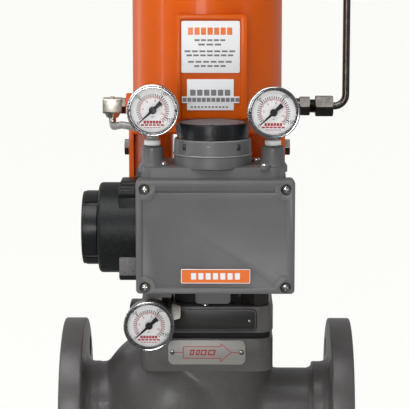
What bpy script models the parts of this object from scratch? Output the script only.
"""A spring-return pneumatic cylinder actuator with its positioner, on a two-inch flanged globe valve.

The origin is where the pipe axis meets the stem axis. X runs along the pipe in the
direction of flow, -Y is the front and Z is up. Sizes here are in millimetres, and the
shape helpers turn them into metres. The valve is drawn at rest: no air, plug on its seat.
"""
from math import asin, cos, pi, radians, sin, sqrt, tan, tau

import bmesh
import bpy
from mathutils import Matrix, Quaternion, Vector

MM = 0.001
GAP = 0.3          # clearance between pieces that touch

# Valve body and flanges: two-inch, class 150, 254 mm face to face
FACE = 127.0       # half the face-to-face length
PORT_R = 25.4
FLANGE_R = 76.2
FLANGE_THICK = 19.0
RAISED_R = 46.0
RAISED_HIGH = 1.6
BOLT_CIRCLE_R = 60.3
BOLT_HOLE_R = 9.5
NECK_R = 38.0
OUTLET_NECK_R = 32.6
CHAMBER_R = 34.0
SEAT_BORE_R = 22.3
WEB_BOTTOM, WEB_TOP = 8.0, 24.0

# Rounded-square flanges that join the body and the bonnet
SQUARE = 113.0
SQUARE_CORNER = 13.0
BODY_FLANGE_BOTTOM, BODY_FLANGE_TOP = 43.0, 72.3
BONNET_BOTTOM, BONNET_TOP = 76.7, 100.0
STUD_PLACE = 41.5
SPIGOT_BOTTOM = 70.0
BONNET_SHOULDER_TOP = 113.7
BONNET_NECK_R, BONNET_NECK_TOP = 26.0, 140.0

# Moving stem, drawn at the bottom of its stroke
STROKE = 38.0
STEM_R = 6.0
ROD_R = 9.0
CLAMP_BOTTOM, CLAMP_TOP = 158.0, 192.0
PIN_Z = 175.0
PIN_R = 3.0
PIVOT_X = 40.0
PIVOT_Z = PIN_Z + STROKE / 2
PISTON_BOTTOM, PISTON_TOP = 272.0, 288.0

# Yoke and cylinder
LEG_IN, LEG_OUT = 30.0, 66.5
POCKET_IN, POCKET_OUT, POCKET_FACE = 36.0, 62.0, 14.0
LEG_HALF_DEPTH = 26.0
YOKE_BOTTOM, YOKE_RING_TOP = 114.0, 128.0
HEAD_BOTTOM, HEAD_TOP = 246.0, 258.0
CYL_R, CYL_BORE_R = 64.0, 60.0
CYL_TOP = 428.0
PORT_Z, TOP_PORT_Z = 264.7, 398.0
PORT_BOSS_R, PORT_BOSS_X = 11.0, 70.0
CAP_BOTTOM, CAP_TOP = 404.0, 420.7
SPRING_R, SPRING_WIRE_R, SPRING_TURNS = 42.0, 4.5, 5

# Positioner: an open box with a front cover and a round turret
POS_LEFT, POS_RIGHT = -51.4, 64.0
POS_FRONT, POS_BACK = -127.7, -62.0
POS_BOTTOM, POS_TOP = 132.0, 227.0
RIM_LEFT, RIM_RIGHT, RIM_BOTTOM, RIM_TOP = -55.3, 70.9, 127.2, 218.4
COVER_FRONT, COVER_BACK = -140.0, -128.0
POS_WALL = 5.0
TURRET_X, TURRET_Y, TURRET_R, TURRET_TOP = 5.4, -98.2, 31.5, 248.0
CAP_R, TURRET_CAP_TOP = 29.3, 260.8
SCREW_LEFT, SCREW_RIGHT, SCREW_LOW, SCREW_HIGH = -48.2, 63.9, 132.4, 211.1
SCREW_HEAD_R, SCREW_WELL_R = 3.2, 4.5

# Transducer housing on the positioner's left side
DRUM_Y, DRUM_Z, DRUM_R = -90.0, 173.0, 37.0
DRUM_LEFT = -87.2
LID_LEFT, LID_R = -100.4, 30.3

# Pressure gauges: 40 mm dials, (x, face y, z)
GAUGE_R = 20.8
GAUGE_DEEP = 25.0
DIAL_R = 18.4
GAUGE_LEFT = (-42.0, -128.0, 272.5)
GAUGE_RIGHT = (53.9, -128.0, 270.7)
GAUGE_SUPPLY = (-46.5, -110.0, 94.0)
BOSS_Y, BOSS_TOP = -109.0, 242.6
SUPPLY_X, SUPPLY_Y = -43.5, -73.0    # air inlet nipple under the positioner
NEEDLE_REST = radians(223)

# Instrument tubing
TUBE_R = 3.175
TUBE_X = 119.4
BEND_R = 13.0

FINISHES = {
    "gray_paint": ((0.125, 0.118, 0.116), 0.45, 0.0),
    "orange_paint": ((0.68, 0.115, 0.012), 0.28, 0.0),
    "black_plastic": ((0.012, 0.014, 0.016), 0.35, 0.0),
    "steel": ((0.52, 0.50, 0.48), 0.32, 1.0),
    "dark_steel": ((0.16, 0.15, 0.14), 0.38, 1.0),
    "nickel": ((0.66, 0.62, 0.56), 0.28, 1.0),
    "brass": ((0.75, 0.55, 0.25), 0.3, 1.0),
    "rubber": ((0.01, 0.01, 0.01), 0.7, 0.0),
    "graphite": ((0.03, 0.03, 0.03), 0.6, 0.0),
    "white_plastic": ((0.8, 0.79, 0.77), 0.4, 0.0),
    "orange_label": ((0.8, 0.17, 0.02), 0.4, 0.0),
    "dark_plate": ((0.07, 0.07, 0.07), 0.4, 0.8),
}

TURNS = {
    "Z": Matrix.Identity(4),
    "X": Matrix.Rotation(pi / 2, 4, "Y"),
    "-Y": Matrix.Rotation(pi / 2, 4, "X"),
}


# ---------------------------------------------------------------- shape helpers

def clear_scene():
    for obj in list(bpy.data.objects):
        bpy.data.objects.remove(obj, do_unlink=True)


def place(data, at, turn=None):
    """Put mesh or curve data in the scene at a point given in millimetres."""
    obj = bpy.data.objects.new(data.name, data)
    bpy.context.scene.collection.objects.link(obj)
    obj.matrix_world = Matrix.Translation(Vector(at) * MM) @ (turn or Matrix.Identity(4))
    return obj


def settle(obj):
    """Give the object its evaluated mesh, welded, with turn and scale applied and no modifiers left."""
    bpy.context.view_layer.update()
    evaluated = obj.evaluated_get(bpy.context.evaluated_depsgraph_get())
    mesh = bpy.data.meshes.new_from_object(evaluated)
    place_only = Matrix.Translation(obj.matrix_world.translation)
    mesh.transform(place_only.inverted() @ obj.matrix_world)
    weld = bmesh.new()
    weld.from_mesh(mesh)
    bmesh.ops.remove_doubles(weld, verts=weld.verts, dist=0.000002)
    weld.to_mesh(mesh)
    weld.free()
    settled = place(mesh, place_only.translation / MM)
    bpy.data.objects.remove(obj, do_unlink=True)
    return settled


def block(low, high, radius=0.0, axis="Z", segments=3):
    """A box between two corners, with the edges along one axis rounded."""
    low, high = Vector(low), Vector(high)
    size = (high - low) * MM
    shape = bmesh.new()
    bmesh.ops.create_cube(shape, size=1.0, matrix=Matrix.Diagonal((*size, 1.0)))
    if radius:
        along = "XYZ".index(axis)
        edges = []
        for edge in shape.edges:
            span = edge.verts[0].co - edge.verts[1].co
            if abs(span[along]) > size[along] / 2:
                edges.append(edge)
        bmesh.ops.bevel(shape, geom=edges, offset=radius * MM, segments=segments, profile=0.5, affect="EDGES")
    mesh = bpy.data.meshes.new("block")
    shape.to_mesh(mesh)
    shape.free()
    return place(mesh, (low + high) / 2)


def rod(radius, start, end, centre=(0, 0), axis="Z", steps=16, end_radius=None):
    """A cylinder or cone along an axis; centre holds the other two coordinates in XYZ order."""
    shape = bmesh.new()
    bmesh.ops.create_cone(shape, cap_ends=True, segments=steps, radius1=radius * MM,
                          radius2=(radius if end_radius is None else end_radius) * MM,
                          depth=abs(end - start) * MM)
    mesh = bpy.data.meshes.new("rod")
    if axis == "Y":
        shape.transform(Matrix.Rotation(-pi / 2, 4, "X"))
    if axis == "X":
        shape.transform(Matrix.Rotation(pi / 2, 4, "Y"))
    shape.to_mesh(mesh)
    shape.free()
    at = list(centre)
    at.insert("XYZ".index(axis), (start + end) / 2)
    return place(mesh, at)


def hexagon(across_flats, start, end, centre=(0, 0), axis="Z"):
    return rod(across_flats / sqrt(3), start, end, centre, axis, steps=6)


def turned(profile, at=(0, 0, 0), axis="Z", steps=24):
    """A solid of revolution: (radius, height) points that run down the outer side, top to bottom."""
    mesh = bpy.data.meshes.new("turned")
    points = [(radius * MM, 0.0, height * MM) for radius, height in profile]
    edges = [(k, k + 1) for k in range(len(points) - 1)]
    if profile[0][0] > 0:
        edges.append((len(points) - 1, 0))
    mesh.from_pydata(points, edges, [])
    obj = place(mesh, at, TURNS[axis])
    screw = obj.modifiers.new("turn", "SCREW")
    screw.steps = steps
    screw.render_steps = steps
    screw.use_merge_vertices = True
    screw.merge_threshold = 0.00001
    return settle(obj)


def flat(outline, thickness, at, axis="-Y"):
    """A plate of the given closed outline, half its thickness to each side of the point."""
    curve = bpy.data.curves.new("outline", "CURVE")
    curve.dimensions = "2D"
    curve.fill_mode = "BOTH"
    curve.extrude = thickness * MM / 2
    spline = curve.splines.new("POLY")
    spline.points.add(len(outline) - 1)
    for point, (x, y) in zip(spline.points, outline):
        point.co = (x * MM, y * MM, 0.0, 1.0)
    spline.use_cyclic_u = True
    return settle(place(curve, at, TURNS[axis]))


def wire(path, radius, at=(0, 0, 0)):
    """A round wire or tube along a list of points."""
    curve = bpy.data.curves.new("wire", "CURVE")
    curve.dimensions = "3D"
    curve.bevel_depth = radius * MM
    curve.bevel_resolution = 2
    curve.use_fill_caps = True
    spline = curve.splines.new("POLY")
    spline.points.add(len(path) - 1)
    for point, place_at in zip(spline.points, path):
        point.co = (*((Vector(place_at) - Vector(at)) * MM), 1.0)
    return settle(place(curve, at))


def bent_path(corners, radius, steps=5):
    """Straight runs between corners, with an arc of the given radius at each bend."""
    corners = [Vector(corner) for corner in corners]
    path = [corners[0]]
    for before, corner, after in zip(corners, corners[1:], corners[2:]):
        back = (before - corner).normalized()
        onward = (after - corner).normalized()
        half = back.angle(onward) / 2
        centre = corner + (back + onward).normalized() * radius / sin(half)
        first = corner + back * radius / tan(half) - centre
        last = corner + onward * radius / tan(half) - centre
        sweep = first.rotation_difference(last)
        for step in range(steps + 1):
            path.append(centre + Quaternion().slerp(sweep, step / steps) @ first)
    path.append(corners[-1])
    return path


def part(name, finish, pieces, cutters=()):
    """Join the pieces, cut the cutters out, and keep the result as one named part."""
    base = pieces[0]
    for operation, tools in (("UNION", pieces[1:]), ("DIFFERENCE", cutters)):
        for tool in tools:
            boolean = base.modifiers.new(operation.lower(), "BOOLEAN")
            boolean.operation = operation
            boolean.solver = "EXACT"
            boolean.object = tool
    made = settle(base)
    for tool in (*pieces[1:], *cutters):
        bpy.data.objects.remove(tool, do_unlink=True)
    made.name = name
    made.data.name = name
    made.data.shade_smooth()
    made.data.set_sharp_from_angle(angle=radians(32))
    colour, roughness, metallic = FINISHES[finish]
    material = bpy.data.materials.new(name + "_" + finish)
    material.use_nodes = True
    shader = material.node_tree.nodes["Principled BSDF"]
    shader.inputs["Base Color"].default_value = (*colour, 1.0)
    shader.inputs["Roughness"].default_value = roughness
    shader.inputs["Metallic"].default_value = metallic
    made.data.materials.clear()
    made.data.materials.append(material)
    collection = bpy.data.collections["control_valve"]
    bpy.context.scene.collection.objects.unlink(made)
    collection.objects.link(made)
    return made


# ---------------------------------------------------------------- valve

def flange_profile(neck):
    """Outer side of a pipe flange from its raised face back to its neck, measured from the face."""
    back = RAISED_HIGH + FLANGE_THICK - 1.6
    rim = 1.5
    return [(0, 0), (RAISED_R, 0), (RAISED_R, -RAISED_HIGH), (FLANGE_R - rim, -RAISED_HIGH),
            (FLANGE_R, -RAISED_HIGH - rim), (FLANGE_R, rim - back), (FLANGE_R - rim, -back),
            (NECK_R + 6, -back), *neck]


def valve_body():
    dome = [(56.3 * cos(a), -16 - 46 * sin(a)) for a in (radians(step) for step in range(18, 90, 18))]
    barrel = turned([(0, 60), (56.3, 60), (56.3, -16), *dome, (0, -62)], steps=28)
    barrel.data.transform(Matrix.Diagonal((1, 0.92, 1, 1)))
    ball = bmesh.new()
    bmesh.ops.create_uvsphere(ball, u_segments=20, v_segments=12, radius=70 * MM,
                              matrix=Matrix.Diagonal((1, 0.86, 1, 1)))
    mesh = bpy.data.meshes.new("ball")
    ball.to_mesh(mesh)
    ball.free()
    bulb = place(mesh, (-27, 0, 2))
    outlet = turned(flange_profile([(NECK_R, -24), (NECK_R, -35), (OUTLET_NECK_R, -39),
                                    (OUTLET_NECK_R, -96), (0, -96)]), at=(FACE, 0, 0), axis="X", steps=32)
    inlet = turned(flange_profile([(NECK_R, -24), (NECK_R, -70), (0, -70)]), axis="X", steps=32)
    inlet.data.transform(Matrix.Rotation(pi, 4, "Z"))
    inlet.location.x = -FACE * MM
    half = SQUARE / 2
    square = block((-half, -half, BODY_FLANGE_BOTTOM), (half, half, BODY_FLANGE_TOP), SQUARE_CORNER)

    rise = Vector((-30, 0, 46)) - Vector((-82, 0, 3))
    riser = rod(20, 0, rise.length)
    riser.data.transform(Matrix.Rotation(asin(rise.x / rise.length), 4, "Y"))
    riser.location = Vector((-56, 0, 24.5)) * MM
    cutters = [
        rod(PORT_R, -FACE - 3, -78, axis="X", steps=24),
        riser,
        rod(CHAMBER_R, WEB_TOP, BODY_FLANGE_TOP + 3, steps=24),
        rod(SEAT_BORE_R, 12, WEB_TOP + 3, steps=24),
        rod(17, WEB_BOTTOM - 3, 15, steps=24),
        rod(24, -44, WEB_BOTTOM, steps=24),
        rod(20, 5, 90, centre=(0, -6), axis="X", steps=24),
        rod(PORT_R, 84, FACE + 3, axis="X", steps=24),
    ]
    for turn in range(4):
        angle = radians(45 + 90 * turn)
        centre = (BOLT_CIRCLE_R * cos(angle), BOLT_CIRCLE_R * sin(angle))
        cutters.append(rod(BOLT_HOLE_R, -FACE - 3, -FACE + 24, centre, "X", 12))
        cutters.append(rod(BOLT_HOLE_R, FACE - 24, FACE + 3, centre, "X", 12))
        cutters.append(rod(STEM_R + GAP, 48, BODY_FLANGE_TOP + 3, stud_place(turn), steps=12))
    part("valve_body", "gray_paint", [barrel, bulb, outlet, inlet, square], cutters)


def stud_place(number):
    angle = radians(45 + 90 * number)
    return (STUD_PLACE * sqrt(2) * cos(angle), STUD_PLACE * sqrt(2) * sin(angle))


def valve_trim():
    part("seat_ring", "steel", [turned([(SEAT_BORE_R - GAP, WEB_TOP - GAP), (SEAT_BORE_R - GAP, 12 + GAP),
                                        (16, 12 + GAP), (16, 21), (18, WEB_TOP - GAP)])])
    part("valve_plug", "steel", [turned([(0, 174.7), (STEM_R, 174.7), (STEM_R, 31), (17.5, 28), (17.5, 24.2),
                                         (15.2, 24.2), (14, 18), (10, 6), (0, 2)], steps=20)])


def bonnet_joint():
    half = SQUARE / 2 - 2.5
    part("bonnet_gasket", "graphite",
         [block((-half, -half, BODY_FLANGE_TOP + GAP), (half, half, BONNET_BOTTOM - GAP), SQUARE_CORNER - 2)],
         [rod(CHAMBER_R + 0.5, 60, 90, steps=24)]
         + [rod(STEM_R + 0.6, 60, 90, stud_place(n), steps=12) for n in range(4)])
    half = SQUARE / 2
    neck = turned([(0, BONNET_NECK_TOP), (BONNET_NECK_R, BONNET_NECK_TOP), (BONNET_NECK_R, BONNET_SHOULDER_TOP),
                   (34, BONNET_SHOULDER_TOP), (38, 95), (38, BONNET_BOTTOM + 5), (CHAMBER_R - GAP, BONNET_BOTTOM),
                   (CHAMBER_R - GAP, SPIGOT_BOTTOM), (0, SPIGOT_BOTTOM)])
    part("bonnet", "gray_paint",
         [block((-half, -half, BONNET_BOTTOM), (half, half, BONNET_TOP), SQUARE_CORNER), neck],
         [rod(STEM_R + 0.5, 60, 150, steps=16), rod(12, 106, 150, steps=20)]
         + [rod(STEM_R + 0.6, 70, 110, stud_place(n), steps=12) for n in range(4)])
    for number in range(4):
        centre = stud_place(number)
        part(f"bonnet_stud_{number + 1}", "dark_steel",
             [rod(STEM_R, 50, 120, centre, steps=12), hexagon(24, BONNET_TOP + GAP, 115, centre)])
    rings = [(11.7, 128)]
    for count in range(5):
        rings += [(11.7, 124.5 - 4 * count), (11.2, 124.1 - 4 * count)]
    part("packing_rings", "graphite", [turned([*rings, (11.2, 106.5), (STEM_R + GAP, 106.5),
                                               (STEM_R + GAP, 128)], steps=16)])
    part("gland_flange", "dark_steel", [turned([(23, 146.5), (23, BONNET_NECK_TOP + GAP),
                                                (11.7, BONNET_NECK_TOP + GAP), (11.7, 128.5),
                                                (STEM_R + GAP, 128.5), (STEM_R + GAP, 146.5)], steps=20)])


def body_plates():
    front = -SQUARE / 2 - GAP
    part("flow_plate", "steel", [block((-32.6, front - 0.8, 49.7), (33, front, 70.6), 5, "Y")])
    part("rating_plate", "dark_plate", [block((-40, front - 0.8, 78.4), (42.6, front, 97.8), 4, "Y")])


# ---------------------------------------------------------------- yoke and cylinder

def yoke():
    foot = rod(40, YOKE_BOTTOM, YOKE_RING_TOP, steps=24)
    bar = block((-46, -20, YOKE_BOTTOM + 1), (46, 20, YOKE_RING_TOP - 1))
    head = turned([(0, HEAD_TOP + 5.7), (CYL_BORE_R - GAP, HEAD_TOP + 5.7), (CYL_BORE_R - GAP, HEAD_TOP),
                   (CYL_R, HEAD_TOP), (CYL_R, HEAD_BOTTOM), (0, HEAD_BOTTOM)], steps=28)
    pieces = [foot, bar, head]
    outline = [(26, YOKE_BOTTOM + 1), (46, YOKE_BOTTOM + 1), (54, 124), (LEG_OUT - 1.5, 150),
               (LEG_OUT, 205), (LEG_OUT, HEAD_TOP - 1), (LEG_IN, HEAD_TOP - 1), (LEG_IN, 140), (26, 132)]
    cutters = [rod(BONNET_NECK_R + GAP, 100, 140, steps=24), rod(13 + GAP, 240, 270, steps=20),
               rod(37, YOKE_RING_TOP - 0.5, YOKE_RING_TOP + 11, steps=24)]
    for side in (-1, 1):
        leg = flat([(side * x, z) for x, z in outline], 2 * LEG_HALF_DEPTH, (0, 0, 0))
        pieces.append(leg)
        for face in (-1, 1):
            for low, high in ((146, 178), (206, 243)):
                x_low, x_high = sorted((side * POCKET_IN, side * POCKET_OUT))
                y_low, y_high = sorted((face * POCKET_FACE, face * (LEG_HALF_DEPTH + 4)))
                cutters.append(block((x_low, y_low, low), (x_high, y_high, high)))
        cutters.append(rod(4 + GAP, min(side * 38, side * 72), max(side * 38, side * 72), (0, 229), "X", 12))
    part("yoke", "orange_paint", pieces, cutters)
    spanner_slots = [rod(2.5, YOKE_RING_TOP - 3, YOKE_RING_TOP + 12, (36 * cos(tau * n / 4), 36 * sin(tau * n / 4)))
                     for n in range(4)]
    part("yoke_nut", "dark_steel", [rod(36, YOKE_RING_TOP + GAP, YOKE_RING_TOP + 8, steps=24)],
         [rod(BONNET_NECK_R + GAP, YOKE_RING_TOP - 5, YOKE_RING_TOP + 13, steps=24), *spanner_slots])
    for side, name in ((-1, "left"), (1, "right")):
        head_in, head_out = sorted((side * (LEG_OUT + GAP), side * (LEG_OUT + 5)))
        tip_in, tip_out = sorted((side * 42, side * (LEG_OUT + 2)))
        part(f"side_bolt_{name}", "steel", [rod(4, tip_in, tip_out, (0, 229), "X", 12),
                                            hexagon(13, head_in, head_out, (0, 229), "X")])


def port_boss(side, height):
    inner, outer = sorted((side * (CYL_R - 3), side * PORT_BOSS_X))
    return rod(PORT_BOSS_R, inner, outer, (0, height), "X", 16)


def cylinder():
    barrel = rod(CYL_R, HEAD_TOP + GAP, CYL_TOP, steps=40)
    pad = block((-25, -68.4, HEAD_TOP + 2), (33.3, -40, 345.8), 3, "Y")
    part("cylinder", "orange_paint",
         [barrel, pad, port_boss(-1, PORT_Z), port_boss(1, PORT_Z), port_boss(1, TOP_PORT_Z)],
         [block((-21, -75, HEAD_TOP + 6), (28, -66.8, 342), 2, "Y"),
          rod(CYL_BORE_R, HEAD_TOP - 5, CYL_TOP + 5, steps=40),
          rod(CYL_BORE_R + 2, 421, 424.3, steps=40),
          block((-80, -20, HEAD_TOP - 10), (-55, 20, HEAD_TOP + 0.5)),
          block((55, -20, HEAD_TOP - 10), (80, 20, HEAD_TOP + 0.5)),
          rod(5.3, -80, -50, (0, PORT_Z), "X", 12),
          rod(5.3, 50, 80, (0, PORT_Z), "X", 12),
          rod(5.3, 50, 80, (0, TOP_PORT_Z), "X", 12)])
    part("caution_plate", "white_plastic", [block((-20.6, -67.9, 298), (27.5, -67.1, 340.6), 2, "Y")])


def piston_parts():
    part("stem_clamp", "steel",
         [rod(14, CLAMP_BOTTOM, CLAMP_TOP, steps=20), block((8, -11, 162), (20, 11, 188)),
          rod(PIN_R, -56.5, -8, (0, PIN_Z), "Y", 12)],
         [rod(STEM_R + GAP, CLAMP_BOTTOM - 5, PIN_Z + 0.2, steps=16),
          rod(ROD_R + GAP, PIN_Z, CLAMP_TOP + 5, steps=16)])
    part("piston_rod", "steel", [turned([(0, 302), (STEM_R, 302), (STEM_R, 299), (11, 299),
                                         (11, PISTON_TOP + GAP), (STEM_R, PISTON_TOP + GAP),
                                         (STEM_R, PISTON_BOTTOM - GAP), (ROD_R, PISTON_BOTTOM - GAP),
                                         (ROD_R, PIN_Z + 0.8), (0, PIN_Z + 0.8)], steps=16)])
    part("rod_bushing", "brass", [turned([(13, HEAD_TOP + 4), (13, HEAD_BOTTOM - GAP), (16, HEAD_BOTTOM - GAP),
                                          (16, HEAD_BOTTOM - 4), (ROD_R + GAP, HEAD_BOTTOM - 4),
                                          (ROD_R + GAP, HEAD_TOP + 4)], steps=20)])
    edge = CYL_BORE_R - 0.4
    part("piston", "steel", [turned([(edge, PISTON_TOP), (edge, 283.3), (56.5, 283.3), (56.5, 276.7),
                                     (edge, 276.7), (edge, PISTON_BOTTOM), (STEM_R + GAP, PISTON_BOTTOM),
                                     (STEM_R + GAP, PISTON_TOP)], steps=32)])
    part("piston_seal", "rubber", [turned([(CYL_BORE_R - 0.2, 283), (CYL_BORE_R - 0.2, 277),
                                           (56.8, 277), (56.8, 283)], steps=32)])


def spring_parts():
    bottom = PISTON_TOP + GAP + SPRING_WIRE_R
    top = CAP_BOTTOM - 7 - GAP - SPRING_WIRE_R
    part("spring", "dark_steel", [spring_wire(bottom, top, 14)])
    part("spring_plate", "dark_steel", [turned([(0, CAP_BOTTOM - GAP), (14, CAP_BOTTOM - GAP),
                                                (14, CAP_BOTTOM - 3), (50, CAP_BOTTOM - 3),
                                                (50, CAP_BOTTOM - 7), (0, CAP_BOTTOM - 7)], steps=24)])


def spring_wire(bottom, top, steps_per_turn):
    """An open coil that starts and ends with its wire against the two plates."""
    total = SPRING_TURNS * steps_per_turn
    path = []
    for step in range(total + 1):
        angle = tau * step / steps_per_turn
        height = bottom + (top - bottom) * step / total
        path.append((SPRING_R * cos(angle), SPRING_R * sin(angle), height))
    return wire(path, SPRING_WIRE_R)


def cylinder_top():
    part("cylinder_cap", "dark_steel",
         [turned([(18, 440), (20, CAP_TOP), (CYL_BORE_R - GAP, CAP_TOP), (CYL_BORE_R - GAP, CAP_BOTTOM),
                  (10.3, CAP_BOTTOM), (10.3, 440)], steps=32)],
         [rod(5.3, CAP_TOP - 10, CAP_TOP + 5, (0, 40), steps=12)])
    part("retaining_ring", "steel",
         [turned([(CYL_BORE_R + 1.7, 424), (CYL_BORE_R + 1.7, 421.3), (54, 421.3), (54, 424)], steps=32)],
         [block((-6, -75, 410), (6, -45, 430))])
    part("adjusting_screw", "steel", [rod(10, CAP_BOTTOM, 462, steps=16), hexagon(18, 461, 472),
                                      hexagon(30, 440.3, 452)])
    ring = bent_ring(12, 20)
    part("lifting_eye", "dark_steel", [wire([(x, 40, CAP_TOP + 20 + z) for x, z in ring], 3.6, (0, 40, CAP_TOP + 20)),
                                       rod(5, CAP_TOP - 9, CAP_TOP + 8.5, (0, 40), steps=12),
                                       rod(9, CAP_TOP + GAP, CAP_TOP + 4, (0, 40), steps=12)])


def bent_ring(radius, steps):
    """Points round an almost full circle whose ends meet in the shank below it."""
    first = radians(-88)
    sweep = radians(356)
    return [(radius * cos(first + sweep * k / steps), radius * sin(first + sweep * k / steps))
            for k in range(steps + 1)]


# ---------------------------------------------------------------- positioner

def positioner_bracket():
    face, plate = -LEG_HALF_DEPTH - GAP, -LEG_HALF_DEPTH - 4.3
    reach = POS_BACK + GAP
    pieces = [block((-61, plate, 138), (61, face, 154), 4, "Y")]
    for side in (-1, 1):
        outer, inner = sorted((side * 60, side * 36))
        pieces.append(block((outer, plate + 0.4, 145), (inner, face - 0.4, 216), 4, "Y"))
    pieces.append(block((-50, reach, 146), (-45, plate + 2, 212)))
    pieces.append(block((53, reach, 146), (58, plate + 2, 212)))
    part("positioner_bracket", "gray_paint", pieces)


def positioner_body():
    wall = POS_WALL
    shell = block((POS_LEFT, -122, POS_BOTTOM), (POS_RIGHT, POS_BACK, POS_TOP), 6, "Y")
    rim = block((RIM_LEFT + 0.5, POS_FRONT, RIM_BOTTOM + 0.3), (RIM_RIGHT - 0.5, -119.5, RIM_TOP), 5, "Y")
    turret = rod(TURRET_R, POS_TOP - 2.4, TURRET_TOP, (TURRET_X, TURRET_Y), steps=28)
    pieces = [shell, rim, turret,
              rod(8.6, 215, BOSS_TOP, (GAUGE_LEFT[0] - 1, BOSS_Y), steps=16),
              rod(9.2, 215, BOSS_TOP, (GAUGE_RIGHT[0], BOSS_Y), steps=16),
              block((-9.2, -76, 106), (20.2, -68, 140), 3, "Y"),
              block((-49.5, -100, 116), (-28, -66, 140), 3, "Z")]
    cutters = [block((POS_LEFT + wall, POS_FRONT - 4, POS_BOTTOM + wall + 2),
                     (POS_RIGHT - wall, POS_BACK - wall, RIM_TOP - wall - 1), 3, "Y"),
               rod(TURRET_R - 5, 205, TURRET_TOP + 4, (TURRET_X, TURRET_Y), steps=24),
               rod(4.6, 236, BOSS_TOP + 4, (GAUGE_LEFT[0] - 1, BOSS_Y), steps=12),
               rod(4.6, 236, BOSS_TOP + 4, (GAUGE_RIGHT[0], BOSS_Y), steps=12),
               rod(5.3, 110, 124, (SUPPLY_X, SUPPLY_Y), steps=12),
               rod(4 + GAP, -80, -55, (PIVOT_X, PIVOT_Z), "Y", 16),
               rod(TUBE_R + GAP, POS_TOP - 3, POS_TOP + 4, (-43.5, -75), steps=12),
               rod(22, POS_LEFT - 4, POS_LEFT + wall + 2, (DRUM_Y, DRUM_Z), "X", 20)]
    for x in (SCREW_LEFT, SCREW_RIGHT):
        for z in (SCREW_LOW, SCREW_HIGH):
            cutters.append(rod(2 + GAP, -130, -121, (x, z), "Y", 10))
    part("positioner_body", "gray_paint", pieces, cutters)


def positioner_cover():
    lid = block((RIM_LEFT, COVER_FRONT, RIM_BOTTOM), (RIM_RIGHT, COVER_BACK, RIM_TOP + 0.2), 4.5, "Y")
    soften = lid.modifiers.new("edge", "BEVEL")
    soften.width = 1.2 * MM
    soften.segments = 2
    soften.limit_method = "ANGLE"
    soften.angle_limit = radians(60)
    lid = settle(lid)
    cutters = [block((POS_LEFT + 6, COVER_BACK - 6, POS_BOTTOM + 8), (POS_RIGHT - 6, COVER_BACK + 3, RIM_TOP - 14))]
    for number, (x, z) in enumerate(cover_screw_places()):
        cutters.append(rod(2.5, -145, -120, (x, z), "Y", 10))
        cutters.append(rod(SCREW_WELL_R, -150, -135.5, (x, z), "Y", 16))
        part(f"cover_screw_{number + 1}", "steel", [rod(2, -136, -122, (x, z), "Y", 10),
                                                    rod(SCREW_HEAD_R, -138.4, -135.8, (x, z), "Y", 16)])
    part("positioner_cover", "gray_paint", [lid], cutters)
    part("cover_label", "orange_label", [block((-19.4, COVER_FRONT - 0.9, 136),
                                               (35.6, COVER_FRONT - GAP, 147.6), 1, "Y")])


def cover_screw_places():
    return [(x, z) for x in (SCREW_LEFT, SCREW_RIGHT) for z in (SCREW_LOW, SCREW_HIGH)]


def turret_cap():
    at = (TURRET_X, TURRET_Y, 0)
    part("turret_cap", "black_plastic",
         [turned([(0, TURRET_CAP_TOP), (CAP_R - 1, TURRET_CAP_TOP), (CAP_R, TURRET_CAP_TOP - 1),
                  (CAP_R, TURRET_TOP + GAP), (TURRET_R - 5.4, TURRET_TOP + GAP), (TURRET_R - 5.4, 240),
                  (TURRET_R - 8, 240), (TURRET_R - 8, 256), (0, 256)], at, steps=32)])


def feedback_parts():
    pivot = (PIVOT_X, PIVOT_Z)
    shaft = rod(4, -100, -48, pivot, "Y", 16)
    cam_radius = 15
    outline = []
    for step in range(19):
        angle = pi * step / 18 + radians(100)
        grow = cam_radius + 6 * step / 18
        outline.append((grow * cos(angle), grow * sin(angle)))
    cam = flat([(5, 0), *outline], 4, (PIVOT_X, -90, PIVOT_Z))
    part("feedback_shaft", "steel", [shaft, cam])

    swing = asin((STROKE / 2) / sqrt(PIVOT_X ** 2 + (STROKE / 2) ** 2))
    reach = sqrt(PIVOT_X ** 2 + (STROKE / 2) ** 2)
    arm_y = -51
    slot_half = PIN_R + 0.8
    hub = rod(9, arm_y - 3, arm_y + 3, pivot, "Y", 16)
    arm = block((-reach - 6, -1.5, -7), (0, 1.5, 7), 3, "Y")
    slot = block((-reach - slot_half, -5, -slot_half), (-PIVOT_X + slot_half + 1, 5, slot_half))
    for piece in (arm, slot):
        piece.data.transform(Matrix.Translation(piece.location))
        piece.data.transform(Matrix.Rotation(-swing, 4, "Y"))
        piece.location = Vector((PIVOT_X, arm_y, PIVOT_Z)) * MM
    part("follower_arm", "steel", [hub, arm], [slot, rod(4 + GAP, arm_y - 6, arm_y + 6, pivot, "Y", 16)])

    part("pilot_relay", "dark_steel", [block((-30, -112, 146), (8, POS_BACK - POS_WALL - GAP, 176), 2, "Y"),
                                       rod(7, 170, 206, (-10, -92), steps=12)])


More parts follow.
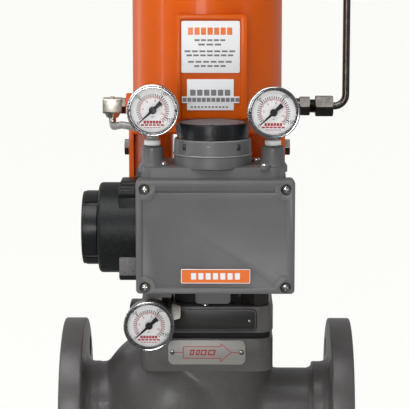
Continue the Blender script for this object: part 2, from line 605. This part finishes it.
def transducer():
    drum_at = (0, DRUM_Y, DRUM_Z)
    right = POS_LEFT - GAP
    drum = turned([(22, right), (DRUM_R, right), (DRUM_R, DRUM_LEFT + 3), (DRUM_R - 1, DRUM_LEFT + 1),
                   (DRUM_R - 3, DRUM_LEFT), (26, DRUM_LEFT), (26, DRUM_LEFT + 12), (22, DRUM_LEFT + 12)],
                  drum_at, "X", 32)
    part("transducer_housing", "black_plastic",
         [drum, block((-69.8, DRUM_Y - 31, 134), (right - 0.4, DRUM_Y + 22, 212), 5, "X")],
         [rod(22, -75, -45, (DRUM_Y, DRUM_Z), "X", 20),
          block((RIM_LEFT - 0.3, -140, 110), (POS_LEFT + 5, -119, 230))])
    inner = DRUM_LEFT - GAP
    notches = []
    for number in range(4):
        angle = radians(42 + 90 * number)
        centre = (DRUM_Y + LID_R * cos(angle), DRUM_Z + LID_R * sin(angle))
        notches.append(rod(2.2, LID_LEFT + 2.8, inner + 5, centre, "X", 8))
    part("transducer_lid", "black_plastic",
         [turned([(0, DRUM_LEFT + 10), (25.5, DRUM_LEFT + 10), (25.5, inner), (LID_R, inner),
                  (LID_R, LID_LEFT + 2), (LID_R - 2, LID_LEFT), (0, LID_LEFT)], drum_at, "X", 32)], notches)


# ---------------------------------------------------------------- gauges and air lines

def gauge(name, centre, stem):
    """A round gauge seen from the front: case with a recessed dial, and a needle on its spindle."""
    x, face, z = centre
    depth = -face
    case = turned([(GAUGE_R - 1, depth), (GAUGE_R, depth - 1), (GAUGE_R, depth - 6), (GAUGE_R - 1.4, depth - 7),
                   (GAUGE_R - 1.4, depth - GAUGE_DEEP + 2), (GAUGE_R - 3.4, depth - GAUGE_DEEP),
                   (0, depth - GAUGE_DEEP), (0, depth - 3.6), (DIAL_R, depth - 3.6), (DIAL_R, depth)],
                  (x, 0, z), "-Y", 28)
    part(f"gauge_{name}_case", "steel", [case, stem], [rod(1.4, face + 2, face + 8, (x, z), "Y", 10)])
    hub = rod(3, face + 1.2, face + 2.4, (x, z), "Y", 16)
    spindle = rod(0.9, face + 1.8, face + 7, (x, z), "Y", 8)
    blade = [(14.6, -0.35), (14.6, 0.35), (1, 1.1), (-2, 1.5), (-9, 1.7), (-9, -1.7), (-2, -1.5), (1, -1.1)]
    turned_blade = [(a * cos(NEEDLE_REST) - b * sin(NEEDLE_REST), a * sin(NEEDLE_REST) + b * cos(NEEDLE_REST))
                    for a, b in blade]
    part(f"gauge_{name}_needle", "black_plastic", [hub, spindle, flat(turned_blade, 0.7, (x, face + 1.8, z))])


def gauges():
    for name, centre, boss_x in (("left", GAUGE_LEFT, GAUGE_LEFT[0] - 1), ("right", GAUGE_RIGHT, GAUGE_RIGHT[0])):
        stem = rod(4, BOSS_TOP + 5.2, centre[2] - GAUGE_R + 3, (boss_x, BOSS_Y), steps=12)
        gauge(name, centre, stem)
        part(f"gauge_adapter_{name}", "white_plastic",
             [rod(6.6, BOSS_TOP + GAP, BOSS_TOP + 4.9, (boss_x, BOSS_Y), steps=16),
              rod(4.3, BOSS_TOP - 5, BOSS_TOP + 2, (boss_x, BOSS_Y), steps=12)])
    x, face, z = GAUGE_SUPPLY
    gauge("supply", GAUGE_SUPPLY, rod(5, face + GAUGE_DEEP - 2, face + GAUGE_DEEP + 2, (x, z), "Y", 16))


def supply_parts():
    back = GAUGE_SUPPLY[1] + GAUGE_DEEP + 2 + GAP
    part("supply_manifold", "black_plastic", [block((-63.5, back, 84), (-29, back + 22, 107.5), 2, "Y")],
         [rod(5.3, 95, 112, (SUPPLY_X, SUPPLY_Y), steps=12)])
    part("supply_nipple", "nickel", [rod(5, 97, 123, (SUPPLY_X, SUPPLY_Y), steps=12),
                                     rod(6.8, 108, 115.6, (SUPPLY_X, SUPPLY_Y), end_radius=6)])
    part("supply_plug", "nickel", [rod(7.2, -28.7, -21.6, (back + 9, 98.5), "X", 16)])


def fitting(side, height):
    """A straight male connector along X: thread, hexagon, neck and tube nut."""
    def span(start, end):
        return sorted((side * start, side * end))
    pieces = [rod(5, *span(61, 72), (0, height), "X", 12), rod(6.8, *span(PORT_BOSS_X + GAP, 82), (0, height), "X", 16),
              hexagon(15.5, *span(79.6, 88.3), (0, height), "X"), rod(6, *span(87, 95), (0, height), "X", 16),
              hexagon(17, *span(93.1, 108.4), (0, height), "X")]
    return pieces, [rod(TUBE_R + GAP, *span(97, 112), (0, height), "X", 16)]


def air_lines():
    part("right_connector", "dark_steel", *fitting(1, PORT_Z))
    part("top_connector", "dark_steel", *fitting(1, TOP_PORT_Z))
    route = [(98, 0, PORT_Z), (TUBE_X, 0, PORT_Z), (TUBE_X, 0, TOP_PORT_Z), (98, 0, TOP_PORT_Z)]
    part("right_tube", "dark_steel", [wire(bent_path(route, BEND_R - 3), TUBE_R)])
    part("left_elbow", "nickel",
         [block((-90, -8, 258.5), (-73.5, 8, 271.5), 1.5, "X"),
          rod(5, -74, -61, (0, PORT_Z), "X", 12), hexagon(13, -75, -PORT_BOSS_X - GAP, (0, PORT_Z), "X"),
          rod(4.8, 254.5, 260, (-82, 0), end_radius=7)],
         [rod(TUBE_R + GAP, 240, 262, (-82, 0), steps=12)])
    route = [(-82, 0, 261), (-82, 0, 246.5), (-72, -33, 251.4), (-43.5, -75, 251.4), (-43.5, -75, POS_TOP - 2)]
    part("left_tube", "steel", [wire(bent_path(route, 5.5, 4), TUBE_R)])


def main():
    clear_scene()
    bpy.context.scene.collection.children.link(bpy.data.collections.new("control_valve"))
    valve_body()
    valve_trim()
    bonnet_joint()
    body_plates()
    yoke()
    cylinder()
    piston_parts()
    spring_parts()
    cylinder_top()
    positioner_bracket()
    positioner_body()
    positioner_cover()
    turret_cap()
    feedback_parts()
    transducer()
    gauges()
    supply_parts()
    air_lines()


main()
